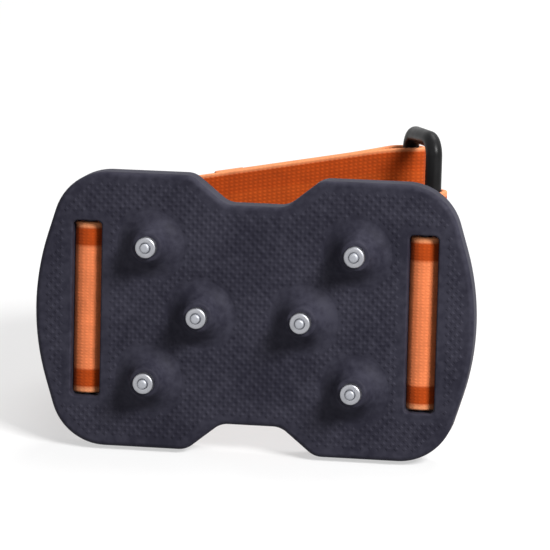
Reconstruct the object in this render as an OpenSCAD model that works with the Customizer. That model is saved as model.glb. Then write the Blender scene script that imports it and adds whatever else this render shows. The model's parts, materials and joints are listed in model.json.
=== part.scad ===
// Mid-sole ice cleat: a studded rubber plate with an adjustable strap loop.
// Origin at the centre of the plate's boot face, +X along the plate, +Z up, strap loop towards +Y.
// The plate stands on its long edge and leans back on the loop, which meets the floor at the ring's foot.

/* [Plate] */
// Length of the plate across its bowed ends
plate_w = 102; // [96:0.5:120]
// Height of the plate across its lobes
plate_h = 64; // [58:0.5:76]
// Thickness of the rubber
plate_t = 7; // [6.4:0.1:10]
// Radius of the four outer corners
corner_r = 13; // [9:0.5:15]
// Radius of the bowed ends
end_bow_r = 58; // [45:1:80]
// Slope of the end sides beside the bow, in degrees
end_slope = 17; // [12:0.5:20]
// Depth of the notches in the long edges
notch_depth = 6.5; // [4:0.25:8]
// Width of a notch at its mouth
notch_mouth = 30; // [26:0.5:34]
// Width of a notch at its floor
notch_floor = 14; // [10:0.5:18]
// Radius of the notch's corners
notch_r = 5; // [3:0.25:6]
// Rounding of the rim
rim_r = 1.2; // [0.6:0.1:2]

/* [Strap slots] */
// Distance from a slot's middle to the end of the plate
slot_edge = 12; // [11:0.25:13]
// Width of a slot at the stud face
slot_w = 6.8; // [6.6:0.1:8]
// Length of a slot beyond the strap's width
slot_spare = 1; // [0.5:0.25:4]
// Corner radius of a slot
slot_r = 1.2; // [0.5:0.1:2]
// Slope of the slot's flare on the boot side, in degrees
flare_slope = 45; // [40:1:48]
// How far the flare starts in front of the cross pin's axis
flare_start = 1; // [0.8:0.1:1.6]

/* [Cross pins] */
// Diameter of a cross pin
pin_d = 3; // [2.4:0.1:3.2]
// Depth of the cross pin's axis below the boot face
pin_depth = 2.6; // [2.4:0.1:3]
// How far each end of a pin is held in the rubber
pin_hold = 4; // [3:0.25:6]
// Clearance round whatever is moulded into the rubber
seat_gap = 0.05; // [0.02:0.01:0.1]

/* [Studs] */
// Distance between the outer studs along the plate
stud_pitch_x = 48; // [44:0.5:52]
// Distance between the outer studs across the plate
stud_pitch_z = 31.4; // [28:0.2:34]
// Distance between the two middle studs
stud_pitch_mid = 24; // [20:0.5:28]
// Diameter of a boss at its foot
boss_d = 15; // [13:0.5:16]
// Diameter of a boss at its top
boss_top_d = 6.2; // [5.8:0.1:8]
// Height of a boss
boss_h = 5; // [3.5:0.25:7]
// Diameter of a stud's shank
stud_d = 4.8; // [4:0.1:5.4]
// How far a stud stands out of its boss
stud_out = 2; // [1:0.1:3.5]
// Diameter of a stud's flange
flange_d = 10; // [8.5:0.25:11]
// Thickness of a stud's flange
flange_t = 1.4; // [1:0.1:1.8]
// Depth of the flange's back below the boot face
flange_sunk = 0.3; // [0.1:0.05:0.6]
// Diameter of a hard tip
tip_d = 2.2; // [1.6:0.1:2.6]
// How far a hard tip stands out of its stud
tip_out = 0.8; // [0.4:0.1:1.4]
// How far a hard tip goes into its stud
tip_in = 5; // [3:0.25:7]

/* [Strap] */
// Width of the webbing
strap_w = 40; // [34:0.5:42]
// Thickness of the webbing
strap_t = 1.2; // [1:0.05:1.3]
// Clearance between webbing and the pin or bar inside it
strap_gap = 0.25; // [0.2:0.05:0.35]
// Length of the long strap's leg, from the pin to the start of its bend
leg_l = 40; // [34:0.5:48]
// Turn of the leg to the left of square with the plate, in degrees
leg_turn = 7; // [3:0.5:12]
// Radius of the bend at the loop's corner
bend_r = 9; // [6:0.5:12]
// Rise of the strap between the slot and the loop's corner
bend_rise = 3; // [1:0.2:5]
// Rise of the strap between the slot and the ring
ring_rise = 13.4; // [12:0.2:15]
// Length of strap sewn back on itself at the pin
sewn_l = 20; // [14:0.5:26]
// Length of the tail past the ring
tail_l = 48; // [40:0.5:52]
// Length of the folded hem at the tail's end
hem_l = 7; // [5:0.25:10]
// Length of the hook patch
patch_l = 22; // [16:0.5:24]
// Thickness of the hook patch
patch_t = 1; // [0.8:0.05:1.4]
// Margin between the hook patch and the strap's edges
patch_margin = 3; // [2:0.25:6]

/* [Ring] */
// Diameter of the ring's bar
bar_d = 4; // [3:0.1:4.4]
// Distance between the axes of the ring's two long bars
ring_span = 18; // [16:0.5:22]
// Clearance between the webbing's edges and the ring
ring_gap = 1.4; // [1.2:0.05:1.8]
// How far apart in height the two straps lie in the ring
ring_step = 8.5; // [7:0.25:10]
// Bend radius of the ring's corners at the middle of the bar
ring_corner_r = 4; // [2.6:0.1:4]
// Turn of the ring to the left of square with the plate, in degrees
ring_turn = 25; // [20:0.5:40]

/* [Hidden] */
$fn = 48;
// Cuts reach this far past a face, and bosses are rooted this deep
root_depth = 0.6;
// A boss's foot spreads this many times its height
foot_spread = 2;
stud_count = 6;
numbers = [for (i = [1:stud_count]) i];

rubber_black = "#2b2b30";
steel_grey = "#b9bcc0";
carbide_grey = "#8d9094";
strap_orange = "#ee8a52";
hook_orange = "#c9551c";
ring_black = "#1c1c1e";

// Layers of webbing sewn together lie this far apart
layer_gap = 0.16;
// Strap solids on different bodies keep this far apart
soft_gap = 0.3;
// A sewn loop closes on its doubled part at this distance from its pin or bar
loop_join = 7;
// Half the gap left in the strap at a fold line
fold_gap = 0.3;
// Length over which a strap's end narrows at a fold line
fold_taper = 1;
// The strap keeps its height over this length beside a pin or bar
level_l = 4;
// The tail comes down to the run over this length
tail_drop_l = 16;
// Points along each round stretch of a strap
bend_steps = 10;
// The hem's second layer is one strap thickness
hem_layers = 2;

pin_x = plate_w / 2 - slot_edge;
pin_y = -pin_depth;
slot_l = strap_w + slot_spare;
half_w = plate_w / 2;
half_h = plate_h / 2;
half_layer = (strap_t + layer_gap) / 2;
pin_loop_r = pin_d / 2 + strap_gap + strap_t / 2;
bar_loop_r = bar_d / 2 + strap_gap + strap_t / 2;
ring_inner_h = strap_w + ring_step + 2 * ring_gap;
ring_outer_h = ring_inner_h + 2 * bar_d;
stud_top = plate_t + boss_h + stud_out;

// Plan directions, as unit vectors in the plane that the strap loop lies in
function heading(a) = [cos(a), sin(a)];
function left_of(a) = [-sin(a), cos(a)];
function right_of(a) = [sin(a), -cos(a)];
function clamped(x) = max(0, min(1, x));
function tilt_of(v) = atan2(v[1], v[0]);

// The loop's corner points, in plan
left_pin = [-pin_x, pin_y];
right_pin = [pin_x, pin_y];
leg_heading = 90 + leg_turn;
bend_heading = 55;
bend_start = left_pin + leg_l * heading(leg_heading) + half_layer * left_of(leg_heading);
bend_centre = bend_start + bend_r * right_of(leg_heading);
corner = bend_centre + bend_r * left_of(bend_heading);
link = corner - left_pin;
link_l = norm(link);
near_bar = right_pin + link;
far_bar = near_bar + ring_span * heading(90 + ring_turn);
to_bar = far_bar - bend_centre;
run_heading = tilt_of(to_bar) - asin((bend_r + bar_loop_r) / norm(to_bar));
run_start = bend_centre + bend_r * left_of(run_heading);
run_end = far_bar + bar_loop_r * right_of(run_heading);
tail_root = far_bar + bar_loop_r * left_of(run_heading);
run_l = norm(run_end - run_start);

// The run lies at the top of the ring and the ring strap at its foot
link_rise = ring_rise - ring_step;
ring_middle = ring_rise - ring_step / 2;
// The plate leans back until the strap's corner or the ring meets the floor that the plate's edge stands on
corner_lean = atan((half_h - strap_w / 2 + bend_rise) / (corner[1] + strap_t / 2));
ring_lean = atan((half_h - ring_outer_h / 2 + ring_middle) / (far_bar[1] + bar_d / 2));
lean = min(corner_lean, ring_lean);
run_slope = (ring_rise - bend_rise) / (run_l - level_l);

stud_places = [
    [-stud_pitch_x / 2, stud_pitch_z / 2],
    [stud_pitch_x / 2, stud_pitch_z / 2],
    [-stud_pitch_mid / 2, 0],
    [stud_pitch_mid / 2, 0],
    [-stud_pitch_x / 2, -stud_pitch_z / 2],
    [stud_pitch_x / 2, -stud_pitch_z / 2]
];

// Plate outline, drawn as one quarter of rounded corners and mirrored twice
bow_centre_x = half_w - end_bow_r;
side_reach = bow_centre_x * cos(end_slope) + end_bow_r;
corner_z = half_h - corner_r;
corner_x = (side_reach - corner_r - corner_z * sin(end_slope)) / cos(end_slope);
notch_slope = atan(2 * notch_depth / (notch_mouth - notch_floor));
notch_reach = half_h * cos(notch_slope) - notch_mouth / 2 * sin(notch_slope);
mouth_z = half_h - notch_r;
mouth_x = (mouth_z * cos(notch_slope) - notch_reach + notch_r) / sin(notch_slope);
floor_z = half_h - notch_depth + notch_r;
floor_x = (floor_z * cos(notch_slope) - notch_reach - notch_r) / sin(notch_slope);

// Points of one rounded corner: hollow corners have side -1 and swell when the outline is inset
function round_corner(centre, r, first, last, steps, side, inset) = [
    for (k = [0:steps])
        centre + side * (r - side * inset) * heading(first + (last - first) * k / steps)
];
function quarter(inset) = concat(
    round_corner([bow_centre_x, 0], end_bow_r, 0, end_slope, 4, 1, inset),
    round_corner([corner_x, corner_z], corner_r, end_slope, 90, 7, 1, inset),
    round_corner([mouth_x, mouth_z], notch_r, 90, 90 + notch_slope, 4, 1, inset),
    round_corner([floor_x, floor_z], notch_r, 90 + notch_slope, 90, 4, -1, inset)
);
function backwards(points) = [for (k = [len(points) - 1:-1:1]) points[k]];
function flipped(points, sx, sz) = [for (p = points) [sx * p[0], sz * p[1]]];
function outline(inset) = let (q = quarter(inset)) concat(
    q,
    flipped(backwards(q), -1, 1),
    flipped(q, -1, -1),
    flipped(backwards(q), 1, -1)
);

// The rim's rounding, from the stud face to the boot face, as [y, inset] of each outline
back_rim_r = rim_r / 2;
rim_steps = 3;
stud_rim = [
    for (k = [0:rim_steps])
        let (a = 90 * k / rim_steps)
        [-plate_t + rim_r * (1 - cos(a)), rim_r * (1 - sin(a))]
];
boot_rim = [
    for (k = [0:rim_steps])
        let (a = 90 * k / rim_steps)
        [-back_rim_r * (1 - sin(a)), back_rim_r * (1 - cos(a))]
];
// Both roundings run on past the faces, which cut them off flat
function run_on(rim) = 2 * rim[0] - rim[1];
rim = concat([run_on(stud_rim)], stud_rim, boot_rim, [run_on(backwards(boot_rim))]);

// Solid through a stack of like outlines, each given as points in X and Z at one y
module lofted(stack) {
    n = len(stack[0][1]);
    last = len(stack) - 1;
    polyhedron(
        points = [for (s = stack) for (p = s[1]) [p[0], s[0], p[1]]],
        faces = concat(
            [[for (i = [n - 1:-1:0]) i]],
            [
                for (k = [0:last - 1])
                    for (i = [0:n - 1])
                        let (a = k * n + i, b = k * n + (i + 1) % n)
                        each [[a, b, b + n], [a, b + n, a + n]]
            ],
            [[for (i = [0:n - 1]) last * n + i]]
        )
    );
}

// Webbing on edge along plan points, with a height and a thickness at each point
module webbing(plan, heights, thicknesses, width) {
    last = len(plan) - 1;
    function side(i) =
        let (v = plan[min(i + 1, last)] - plan[max(i - 1, 0)])
        [-v[1], v[0]] / norm(v);
    function ring_at(i) = let (
        out = side(i) * thicknesses[i] / 2,
        l = plan[i] + out,
        r = plan[i] - out,
        low = heights[i] - width / 2,
        high = heights[i] + width / 2
    ) [[l[0], l[1], low], [l[0], l[1], high], [r[0], r[1], high], [r[0], r[1], low]];
    polyhedron(
        points = [for (i = [0:last]) each ring_at(i)],
        faces = concat(
            [[0, 1, 2], [0, 2, 3]],
            [
                for (i = [0:last - 1])
                    for (k = [0:3])
                        let (a = 4 * i + k, b = 4 * i + (k + 1) % 4)
                        each [[a, a + 4, b + 4], [a, b + 4, b]]
            ],
            [[4 * last + 2, 4 * last + 1, 4 * last], [4 * last + 3, 4 * last + 2, 4 * last]]
        )
    );
}

// Everything is drawn upright and then leans back
module leaning() {
    rotate([-lean, 0, 0]) children();
}

// Places a shape drawn along +Z from the boot face so that it points out of the stud face
module at_stud(i) {
    place = stud_places[i - 1];
    translate([place[0], 0, place[1]]) rotate([90, 0, 0]) children();
}

// Angle that a length takes on an arc
function arc_angle(length, r) = length / r * 180 / PI;
// A sewn loop round a pin at the origin, from one layer of the doubled strap to the other
function loop_angle(r) =
    atan2(half_layer, loop_join) + acos(r / norm([loop_join, half_layer]));
function loop_round(r, side) = [
    for (k = [0:bend_steps])
        let (a = loop_angle(r), t = a + (360 - 2 * a) * k / bend_steps)
        [r * cos(t), side * r * sin(t)]
];
function placed(points, origin, turn) = [
    for (p = points) origin + p[0] * heading(turn) + p[1] * left_of(turn)
];
// A strap's end narrows to this share of its thickness at a fold line
fold_share = 0.25;

// The long strap's leg: sewn loop on the left pin, then up to the loop's corner
leg_last = bend_heading + arc_angle(fold_gap, bend_r);
leg_full = bend_heading + arc_angle(fold_gap + fold_taper, bend_r);
leg_flat = placed(
    concat(
        [[sewn_l, -half_layer], [loop_join, -half_layer]],
        loop_round(pin_loop_r, -1),
        [[loop_join, half_layer], [leg_l, half_layer]]
    ),
    left_pin,
    leg_heading
);
leg_bend = [
    for (k = [1:bend_steps])
        bend_centre + bend_r * left_of(leg_heading + (leg_full - leg_heading) * k / bend_steps)
];
leg_plan = concat(leg_flat, leg_bend, [bend_centre + bend_r * left_of(leg_last)]);
leg_reach = link * heading(leg_heading);
leg_heights = [
    for (p = leg_plan)
        let (along = (p - left_pin) * heading(leg_heading))
        bend_rise * clamped((along - level_l) / (leg_reach - level_l))
];

// The long strap's run: from the corner to the ring and round its far bar
run_first = bend_heading - arc_angle(fold_gap, bend_r);
run_full = bend_heading - arc_angle(fold_gap + fold_taper, bend_r);
wrap_full = 180 - arc_angle(fold_gap + fold_taper, bar_loop_r);
wrap_last = 180 - arc_angle(fold_gap, bar_loop_r);
run_plan = concat(
    [bend_centre + bend_r * left_of(run_first)],
    [
        for (k = [0:bend_steps])
            bend_centre + bend_r * left_of(run_full + (run_heading - run_full) * k / bend_steps)
    ],
    [run_end - level_l * heading(run_heading)],
    [
        for (k = [0:bend_steps])
            far_bar + bar_loop_r * right_of(run_heading + wrap_full * k / bend_steps)
    ],
    [far_bar + bar_loop_r * right_of(run_heading + wrap_last)]
);
run_heights = [
    for (p = run_plan)
        let (along = (p - run_start) * heading(run_heading))
        bend_rise + (ring_rise - bend_rise) * clamped(along / (run_l - level_l))
];

// The tail lies back along the run, with the hook patch between them
tail_sep = strap_t + soft_gap + patch_t + seat_gap;
hem_step = 0.3;
hem_start = tail_l - hem_l;
function tail_away(s) = tail_sep
    + (2 * bar_loop_r - tail_sep) * (1 + cos(180 * clamped(s / tail_drop_l))) / 2;
function tail_point(s, out) = run_end - s * heading(run_heading)
    + (tail_away(s) + out) * left_of(run_heading);
function tail_height(s) = ring_rise - run_slope * max(0, s - level_l);
tail_drop = [for (k = [1:bend_steps]) fold_gap + fold_taper + tail_drop_l * k / bend_steps];
tail_stations = concat(
    [fold_gap, fold_gap + fold_taper],
    tail_drop,
    [hem_start, hem_start + hem_step, tail_l]
);
hem_out = (hem_layers - 1) * strap_t / 2;
tail_plan = [for (s = tail_stations) tail_point(s, s > hem_start ? hem_out : 0)];
tail_heights = [for (s = tail_stations) tail_height(s)];
tail_thickness = [
    for (s = tail_stations)
        s == fold_gap ? fold_share * strap_t : s > hem_start ? hem_layers * strap_t : strap_t
];

patch_start = hem_start - patch_l - hem_step;
patch_out = -(strap_t + patch_t) / 2 - seat_gap;
patch_stations = [for (k = [0:bend_steps]) patch_start + patch_l * k / bend_steps];
patch_plan = [for (s = patch_stations) tail_point(s, patch_out)];
patch_heights = [for (s = patch_stations) tail_height(s)];

// The ring strap: a doubled band round the right pin and the ring's near bar, butted half way
seam_gap = 0.4;
seam = link_l / 2;
ring_strap_flat = concat(
    [[seam - seam_gap / 2, half_layer], [loop_join, half_layer]],
    loop_round(pin_loop_r, 1),
    [[loop_join, -half_layer], [link_l - loop_join, -half_layer]],
    [for (p = loop_round(bar_loop_r, -1)) [link_l - p[0], p[1]]],
    [[link_l - loop_join, half_layer], [seam + seam_gap / 2, half_layer]]
);
ring_strap_plan = placed(ring_strap_flat, right_pin, tilt_of(link));
ring_strap_heights = [
    for (p = ring_strap_flat)
        link_rise * clamped((p[0] - level_l) / (link_l - 2 * level_l))
];

function even(plan) = [for (p = plan) strap_t];
// Thickness along a plan whose first or last point is at a fold line
function narrowed(plan, first, last) = [
    for (i = [0:len(plan) - 1])
        (i == 0 && first) || (i == len(plan) - 1 && last) ? fold_share * strap_t : strap_t
];

module boss() {
    foot_r = boss_d / 2;
    top_r = boss_top_d / 2;
    foot_h = 0.12 * boss_h;
    crown_h = 0.1 * boss_h;
    root = plate_t - root_depth;
    rotate_extrude() polygon([
        [0, root],
        [foot_r + foot_spread * root_depth, root],
        [foot_r - foot_spread * foot_h, plate_t + foot_h],
        [top_r + crown_h, plate_t + boss_h - crown_h],
        [top_r, plate_t + boss_h],
        [0, plate_t + boss_h]
    ]);
}

// The space in the rubber for one stud
module stud_seat() {
    flange_top = flange_sunk + flange_t + seat_gap;
    translate([0, 0, -root_depth])
        cylinder(h = flange_top + root_depth, d = flange_d + 2 * seat_gap);
    cylinder(h = stud_top, d = stud_d + 2 * seat_gap);
}

// A slot with rounded corners, flared towards the boot so that the webbing can swing
module slot(x) {
    corner_steps = 4;
    flare_y = pin_y - flare_start;
    function flare_half(y) = slot_w / 2 + (y - flare_y) * tan(flare_slope);
    flare_in = flare_y - root_depth;
    translate([x, root_depth, 0]) rotate([90, 0, 0]) linear_extrude(plate_t + 2 * root_depth)
        polygon([
            for (q = [[1, 1, 0], [-1, 1, 90], [-1, -1, 180], [1, -1, 270]])
                for (k = [0:corner_steps])
                    [q[0] * (slot_w / 2 - slot_r), q[1] * (slot_l / 2 - slot_r)]
                        + slot_r * heading(q[2] + 90 * k / corner_steps)
        ]);
    translate([x, 0, 0]) linear_extrude(slot_l + slot_r, center = true) polygon([
        [-flare_half(flare_in), flare_in],
        [flare_half(flare_in), flare_in],
        [flare_half(root_depth), root_depth],
        [-flare_half(root_depth), root_depth]
    ]);
}

// A cross pin lies along the slot, held at both ends; spare widens it into its seat
module cross_pin(x, spare) {
    translate([x, pin_y, 0])
        cylinder(h = slot_l + 2 * pin_hold + 2 * spare, d = pin_d + 2 * spare, center = true);
}

module traction_plate() {
    color(rubber_black) leaning() difference() {
        union() {
            intersection() {
                lofted([for (r = rim) [r[0], outline(r[1])]]);
                translate([-plate_w, -plate_t, -plate_h]) cube([2 * plate_w, plate_t, 2 * plate_h]);
            }
            for (i = numbers) at_stud(i) boss();
        }
        for (i = numbers) at_stud(i) stud_seat();
        for (x = [-pin_x, pin_x]) {
            slot(x);
            cross_pin(x, seat_gap);
        }
    }
}

module left_strap_pin() {
    color(steel_grey) leaning() cross_pin(-pin_x, 0);
}

module right_strap_pin() {
    color(steel_grey) leaning() cross_pin(pin_x, 0);
}

module stud(i) {
    shank_r = stud_d / 2;
    bevel = shank_r / 5;
    bore_r = tip_d / 2 + seat_gap;
    color(steel_grey) leaning() at_stud(i) rotate_extrude() polygon([
        [0, flange_sunk],
        [flange_d / 2, flange_sunk],
        [flange_d / 2, flange_sunk + flange_t],
        [shank_r, flange_sunk + flange_t],
        [shank_r, stud_top - bevel],
        [shank_r - bevel, stud_top],
        [bore_r, stud_top],
        [bore_r, stud_top - tip_in],
        [0, stud_top - tip_in]
    ]);
}

module stud_tip(i) {
    tip_r = tip_d / 2;
    bevel = tip_r / 3;
    color(carbide_grey) leaning() at_stud(i) rotate_extrude() polygon([
        [0, stud_top - tip_in + seat_gap],
        [tip_r, stud_top - tip_in + seat_gap],
        [tip_r, stud_top + tip_out - bevel],
        [tip_r - bevel, stud_top + tip_out],
        [0, stud_top + tip_out]
    ]);
}

module strap_anchor_end() {
    color(strap_orange) leaning()
        webbing(leg_plan, leg_heights, narrowed(leg_plan, false, true), strap_w);
}

module strap_run() {
    color(strap_orange) leaning()
        webbing(run_plan, run_heights, narrowed(run_plan, true, true), strap_w);
}

module strap_tail() {
    color(strap_orange) leaning()
        webbing(tail_plan, tail_heights, tail_thickness, strap_w);
}

module hook_patch() {
    color(hook_orange) leaning() webbing(
        patch_plan,
        patch_heights,
        [for (p = patch_plan) patch_t],
        strap_w - 2 * patch_margin
    );
}

module ring_strap() {
    color(strap_orange) leaning()
        webbing(ring_strap_plan, ring_strap_heights, even(ring_strap_plan), strap_w);
}

// A ring of round bar: two long bars, two short ones and four bent corners
module strap_ring() {
    bar_r = bar_d / 2;
    mid_h = ring_inner_h + bar_d;
    long_l = mid_h - 2 * ring_corner_r;
    short_l = ring_span - 2 * ring_corner_r;
    color(ring_black) leaning()
        translate([near_bar[0], near_bar[1], ring_middle])
        rotate([0, 0, 90 + ring_turn])
        translate([ring_span / 2, 0, 0]) {
            for (s = [-1, 1]) {
                translate([s * ring_span / 2, 0, 0]) cylinder(h = long_l, r = bar_r, center = true);
                translate([0, 0, s * mid_h / 2])
                    rotate([0, 90, 0]) cylinder(h = short_l, r = bar_r, center = true);
            }
            for (q = [0:3])
                rotate([90, 0, 0]) translate([
                    (q == 0 || q == 3 ? 1 : -1) * short_l / 2,
                    (q < 2 ? 1 : -1) * long_l / 2,
                    0
                ])
                rotate([0, 0, 90 * q]) rotate_extrude(angle = 90)
                    translate([ring_corner_r, 0]) circle(bar_r);
        }
}

traction_plate();
left_strap_pin();
right_strap_pin();
strap_anchor_end();
strap_run();
strap_tail();
hook_patch();
ring_strap();
strap_ring();
for (i = numbers) stud(i);
for (i = numbers) stud_tip(i);
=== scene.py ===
"""Looks of a mid-sole ice cleat: a studded rubber plate with a webbing loop and a ring.

Pieces are drawn upright, with the plate's boot face at y = 0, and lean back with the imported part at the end.
"""

import json
from math import acos, atan, atan2, cos, hypot, pi, radians, sin

import bmesh
import bpy
from bpy.props import FloatProperty, FloatVectorProperty, PointerProperty
from bpy.types import Operator, Panel, PropertyGroup
from mathutils import Matrix, Vector


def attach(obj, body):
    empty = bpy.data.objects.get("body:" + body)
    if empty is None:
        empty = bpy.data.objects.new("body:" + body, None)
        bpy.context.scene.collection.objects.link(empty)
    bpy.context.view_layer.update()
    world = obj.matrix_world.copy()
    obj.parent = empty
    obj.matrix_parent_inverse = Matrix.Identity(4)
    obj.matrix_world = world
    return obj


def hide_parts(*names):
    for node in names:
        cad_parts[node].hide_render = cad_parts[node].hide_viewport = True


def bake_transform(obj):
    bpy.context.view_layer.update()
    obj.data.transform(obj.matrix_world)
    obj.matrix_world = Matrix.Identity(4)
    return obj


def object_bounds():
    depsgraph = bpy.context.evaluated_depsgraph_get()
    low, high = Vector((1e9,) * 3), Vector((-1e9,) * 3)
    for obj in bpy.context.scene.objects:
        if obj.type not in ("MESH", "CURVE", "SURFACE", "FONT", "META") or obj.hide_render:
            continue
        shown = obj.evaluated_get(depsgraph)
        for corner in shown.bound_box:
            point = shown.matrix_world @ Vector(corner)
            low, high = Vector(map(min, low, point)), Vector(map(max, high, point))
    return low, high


bl_info = {
    "name": "Mid-sole ice cleat",
    "version": (1, 0, 0),
    "blender": (4, 5, 0),
    "location": "View3D > Sidebar > Ice cleat",
    "description": "Dresses the packed ice cleat with its rubber, steel, webbing and plastic pieces",
    "category": "Object",
}

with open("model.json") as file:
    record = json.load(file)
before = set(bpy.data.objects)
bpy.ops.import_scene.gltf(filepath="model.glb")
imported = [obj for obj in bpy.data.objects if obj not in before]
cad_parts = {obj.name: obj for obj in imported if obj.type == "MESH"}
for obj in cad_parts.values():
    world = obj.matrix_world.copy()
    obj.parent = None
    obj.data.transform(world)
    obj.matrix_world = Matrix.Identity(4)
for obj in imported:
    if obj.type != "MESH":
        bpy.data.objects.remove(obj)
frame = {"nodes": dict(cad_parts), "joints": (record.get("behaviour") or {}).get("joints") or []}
CAD_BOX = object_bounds()
JOINTS = {joint["name"]: joint for joint in frame["joints"]}
MM = 0.001

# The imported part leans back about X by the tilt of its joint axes
LEAN = atan2(JOINTS["loop_swing"]["axis"][1], JOINTS["loop_swing"]["axis"][2])
LEANING = Matrix.Rotation(-LEAN, 4, "X")
UPRIGHT = LEANING.inverted()
STUD_NUMBERS = range(1, 7)
# The straps swing in their slots about these joints
SLOT_JOINTS = ("loop_swing", "ring_strap_swing")
WHITE = (1, 1, 1, 1)
# Noise lies mostly between these values
NOISE_RANGE = {"From Min": 0.3, "From Max": 0.7}
# A wave texture's waves are about this long at a scale of 1
WAVE_LENGTH = 0.32


def upright_box(node):
    """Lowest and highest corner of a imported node, measured upright."""
    points = [UPRIGHT @ vertex.co for vertex in frame["nodes"][node].data.vertices]
    low = Vector(min(point[k] for point in points) for k in range(3))
    high = Vector(max(point[k] for point in points) for k in range(3))
    return low, high


def joint_plan(name):
    """Where a joint's axis crosses the plan of the strap loop, as a point in x and y."""
    return (UPRIGHT @ Vector(JOINTS[name]["pos_m"])).to_2d()


PLATE_LOW, PLATE_HIGH = upright_box("traction_plate")
RING_LOW, RING_HIGH = upright_box("strap_ring")
STRAP_TOPS = {node: upright_box(node)[1].z for node in ("strap_anchor_end", "strap_run", "ring_strap")}


def linear(code):
    """A colour written as an sRGB hex value, as the linear red, green and blue that shaders take."""
    channels = [int(code[k:k + 2], 16) / 255 for k in (1, 3, 5)]
    return [c / 12.92 if c <= 0.04045 else ((c + 0.055) / 1.055) ** 2.4 for c in channels]


def length(name, description, default):
    """A size in metres."""
    return FloatProperty(name=name, description=description, default=default, unit="LENGTH", precision=5)


def turn(name, description, default):
    """An angle, given in degrees and kept in radians."""
    return FloatProperty(name=name, description=description, default=radians(default), unit="ROTATION")


def colour(name, description, code):
    """A colour, given as an sRGB hex value."""
    return FloatVectorProperty(
        name=name, description=description, default=linear(code), subtype="COLOR", size=3, min=0, max=1)


class PlateSizes(PropertyGroup):
    """Sizes of the rubber plate and its surface."""

    width: length("Width", "Length of the plate across its bowed ends", PLATE_HIGH.x - PLATE_LOW.x)
    height: length("Height", "Height of the plate across its lobes", PLATE_HIGH.z - PLATE_LOW.z)
    thickness: length("Thickness", "Thickness of the rubber", 7 * MM)
    corner: length("Corner", "Radius of the four outer corners", 13 * MM)
    bow: length("Bow", "Radius of the bowed ends", 58 * MM)
    end_slope: turn("End slope", "Slope of the end sides beside the bow", 17)
    notch_depth: length("Notch depth", "Depth of the notches in the long edges", 6.5 * MM)
    notch_mouth: length("Notch mouth", "Width of a notch at its mouth", 30 * MM)
    notch_floor: length("Notch floor", "Width of a notch at its floor", 14 * MM)
    notch_round: length("Notch round", "Radius of the notch's corners", 5 * MM)
    rim: length("Rim", "Rounding of the rim at the stud face", 1.2 * MM)
    slot_width: length("Slot width", "Width of a strap slot at the stud face", 6.8 * MM)
    slot_length: length("Slot length", "Length of a strap slot", 41 * MM)
    slot_corner: length("Slot corner", "Corner radius of a slot", 1.2 * MM)
    slot_lip: length("Slot lip", "Rounding of a slot's edge at the stud face", 0.45 * MM)
    flare_start: length("Flare start", "Where the slot's flare starts, in front of the pin", 1 * MM)
    boss_foot: length("Boss foot", "Diameter of a boss at its foot", 15 * MM)
    boss_top: length("Boss top", "Diameter of a boss at its top", 6.2 * MM)
    boss_height: length("Boss height", "Height of a boss", 5 * MM)
    pip_pitch: length("Pip pitch", "Distance between the pips of one row", 2 * MM)
    pip_height: length("Pip height", "Height of a pip of the moulded texture", 0.11 * MM)


class StudSizes(PropertyGroup):
    """Sizes of the studs, their tips and the cross pins."""

    shank: length("Shank", "Diameter of a stud's shank", 4.8 * MM)
    reach: length("Reach", "Height of a stud's top above the boot face", 14 * MM)
    flange: length("Flange", "Diameter of a stud's flange", 10 * MM)
    flange_thick: length("Flange thickness", "Thickness of a stud's flange", 1.4 * MM)
    flange_sunk: length("Flange depth", "Depth of the flange's back below the boot face", 0.3 * MM)
    tip: length("Tip", "Diameter of a hard tip", 2.2 * MM)
    tip_out: length("Tip height", "How far a hard tip stands out of its stud", 0.8 * MM)
    tip_in: length("Tip depth", "How far a hard tip goes into its stud", 5 * MM)
    pin: length("Pin", "Diameter of a cross pin", 3 * MM)
    gap: length("Gap", "Clearance round what is moulded in", 0.05 * MM)


class StrapSizes(PropertyGroup):
    """Sizes of the webbing, its stitching and the ring."""

    width: length("Width", "Width of the webbing", 40 * MM)
    thick: length("Thickness", "Thickness of the webbing", 1.2 * MM)
    gap: length("Gap", "Clearance between webbing and the pin or bar inside it", 0.25 * MM)
    layer_gap: length("Layer gap", "Distance between layers sewn together", 0.16 * MM)
    leg: length("Leg", "Length of the leg from the pin to its bend", 40 * MM)
    leg_turn: turn("Leg turn", "Turn of the leg to the left of square with the plate", 7)
    bend: length("Bend", "Radius of the bend at the loop's corner", 9 * MM)
    bend_heading: turn("Bend heading", "Heading of the webbing at the corner's fold line", 55)
    sewn: length("Sewn length", "Length of strap sewn back on itself", 20 * MM)
    join: length("Loop join", "Where a sewn loop closes, from its pin or bar", 7 * MM)
    level: length("Level length", "Length beside a pin or bar over which the strap keeps its height", 4 * MM)
    tail: length("Tail", "Length of the tail past the ring", 48 * MM)
    tail_drop: length("Tail drop", "Length over which the tail comes down to the run", 16 * MM)
    tail_gap: length("Tail distance", "Distance between the middles of the tail and the run", 2.55 * MM)
    hem: length("Hem", "Length of the folded hem", 7 * MM)
    patch: length("Patch", "Length of the hook patch", 22 * MM)
    patch_margin: length("Patch margin", "Margin of the hook patch to the strap's edges", 3 * MM)
    patch_base: length("Patch base", "Thickness of the hook patch's backing", 0.4 * MM)
    hook_pitch: length("Hook pitch", "Distance between the hooks", 1.25 * MM)
    stitch: length("Stitch", "Length of a stitch", 1.9 * MM)
    stitch_pitch: length("Stitch pitch", "Distance from stitch to stitch", 2.5 * MM)
    thread: length("Thread", "Diameter of the sewing thread", 0.42 * MM)
    bar: length("Bar", "Diameter of the ring's bar", 4 * MM)
    ring_corner: length("Ring corner", "Bend radius of the ring's corners", 4 * MM)


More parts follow.
